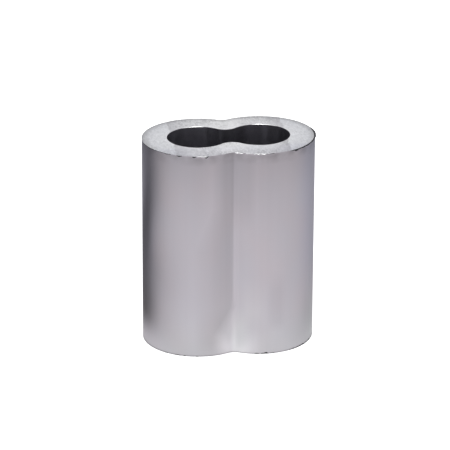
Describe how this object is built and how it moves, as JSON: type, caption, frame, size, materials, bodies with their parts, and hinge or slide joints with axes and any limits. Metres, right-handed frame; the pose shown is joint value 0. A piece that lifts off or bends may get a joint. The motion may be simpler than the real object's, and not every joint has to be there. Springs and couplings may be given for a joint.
{
  "type": "wire rope ferrule",
  "caption": "Figure-8 (hourglass) aluminium sleeve, sawn from an extrusion, with joined through bores that hold the two strands of a wire rope eye when pressed.",
  "frame": {"origin": "centre of the lower sawn end, on the surface that the sleeve stands on", "axes": "+Z along both bores, +X from one barrel's axis to the other's, +Y across the waist"},
  "size_m": [0.0308, 0.0198, 0.0381],
  "materials": {
    "mill_aluminium": "satin mill finish as extruded, with sawn ends"
  },
  "bodies": {
    "root": {"sleeve": "mill_aluminium"}
  },
  "joints": []
}
